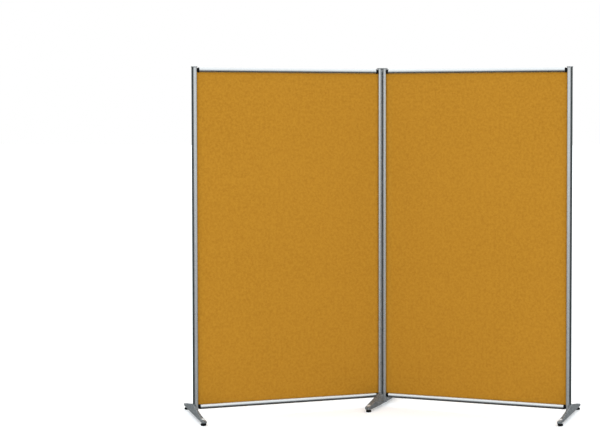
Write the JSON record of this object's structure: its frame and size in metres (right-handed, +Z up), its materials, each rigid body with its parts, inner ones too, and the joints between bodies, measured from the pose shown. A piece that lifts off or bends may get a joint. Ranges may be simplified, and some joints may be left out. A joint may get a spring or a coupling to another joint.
{
  "type": "folding screen",
  "caption": "Free-standing folding screen: tall hinged panels of stretched ochre cloth in slim aluminium frames, on cast feet with levelling pads.",
  "frame": {"origin": "on the floor, under the centre of the screen's bounding box at rest", "axes": "+X to the right along the screen, +Y away from the side that the V opens to, +Z up"},
  "size_m": [2.096, 0.7868, 1.8],
  "materials": {
    "frame_aluminium": "satin anodised extrusion",
    "cast_foot": "matt sandblasted casting, grey",
    "connector_plastic": "black moulded",
    "cap_metal": "satin die casting",
    "cover_strip": "dark grey extruded strip",
    "pad_rubber": "black matt",
    "edge_strip": "flexible strip, black",
    "fastener_steel": "zinc plated",
    "cloth": "felted ochre cloth, matt"
  },
  "bodies": {
    "right_panel": {"right_bottom_rail": "frame_aluminium", "right_bottom_inner_connector": "connector_plastic", "right_bottom_outer_connector": "connector_plastic", "right_top_rail": "frame_aluminium", "right_top_inner_connector": "connector_plastic", "right_top_outer_connector": "connector_plastic", "right_cloth": "cloth", "right_inner_edge_strip": "edge_strip", "right_outer_edge_strip": "edge_strip", "right_bottom_edge_strip": "edge_strip", "right_top_edge_strip": "edge_strip", "right_outer_stile": "frame_aluminium", "right_outer_cap": "cap_metal", "right_cover_strip": "cover_strip", "right_foot": "cast_foot", "right_foot_bolt": "fastener_steel", "right_inner_stile": "frame_aluminium", "centre_foot": "cast_foot", "centre_foot_bolt": "fastener_steel", "right_top_hinge_plate": "cap_metal", "top_hinge_pin": "fastener_steel", "bottom_hinge_pin": "fastener_steel", "hinge_seal": "edge_strip", "right_top_hinge_screw": "fastener_steel"},
    "left_panel": {"left_bottom_rail": "frame_aluminium", "left_bottom_inner_connector": "connector_plastic", "left_bottom_outer_connector": "connector_plastic", "left_top_rail": "frame_aluminium", "left_top_inner_connector": "connector_plastic", "left_top_outer_connector": "connector_plastic", "left_cloth": "cloth", "left_inner_edge_strip": "edge_strip", "left_outer_edge_strip": "edge_strip", "left_bottom_edge_strip": "edge_strip", "left_top_edge_strip": "edge_strip", "left_outer_stile": "frame_aluminium", "left_outer_cap": "cap_metal", "left_cover_strip": "cover_strip", "left_foot": "cast_foot", "left_foot_bolt": "fastener_steel", "left_inner_stile": "frame_aluminium", "left_top_hinge_plate": "cap_metal", "left_bottom_hinge_plate": "cap_metal", "left_top_hinge_screw": "fastener_steel", "left_bottom_hinge_screw": "fastener_steel"},
    "left_front_glide": {"left_front_pad": "pad_rubber", "left_front_stud": "fastener_steel"},
    "left_back_glide": {"left_back_pad": "pad_rubber", "left_back_stud": "fastener_steel"},
    "centre_front_glide": {"centre_front_pad": "pad_rubber", "centre_front_stud": "fastener_steel"},
    "centre_back_glide": {"centre_back_pad": "pad_rubber", "centre_back_stud": "fastener_steel"},
    "right_front_glide": {"right_front_pad": "pad_rubber", "right_front_stud": "fastener_steel"},
    "right_back_glide": {"right_back_pad": "pad_rubber", "right_back_stud": "fastener_steel"}
  },
  "joints": [
    {"name": "fold", "type": "hinge", "parent": "right_panel", "child": "left_panel", "pos_m": [0, 0.16494, 0.9], "axis": [0, 0, 1], "range_deg": [-85, 9]},
    {"name": "left_front_level", "type": "slide", "parent": "left_panel", "child": "left_front_glide", "axis": [0, 0, 1], "range_m": [-0.008, 0]},
    {"name": "left_back_level", "type": "slide", "parent": "left_panel", "child": "left_back_glide", "axis": [0, 0, 1], "range_m": [-0.008, 0]},
    {"name": "centre_front_level", "type": "slide", "parent": "right_panel", "child": "centre_front_glide", "axis": [0, 0, 1], "range_m": [-0.008, 0]},
    {"name": "centre_back_level", "type": "slide", "parent": "right_panel", "child": "centre_back_glide", "axis": [0, 0, 1], "range_m": [-0.008, 0]},
    {"name": "right_front_level", "type": "slide", "parent": "right_panel", "child": "right_front_glide", "axis": [0, 0, 1], "range_m": [-0.008, 0]},
    {"name": "right_back_level", "type": "slide", "parent": "right_panel", "child": "right_back_glide", "axis": [0, 0, 1], "range_m": [-0.008, 0]}
  ]
}
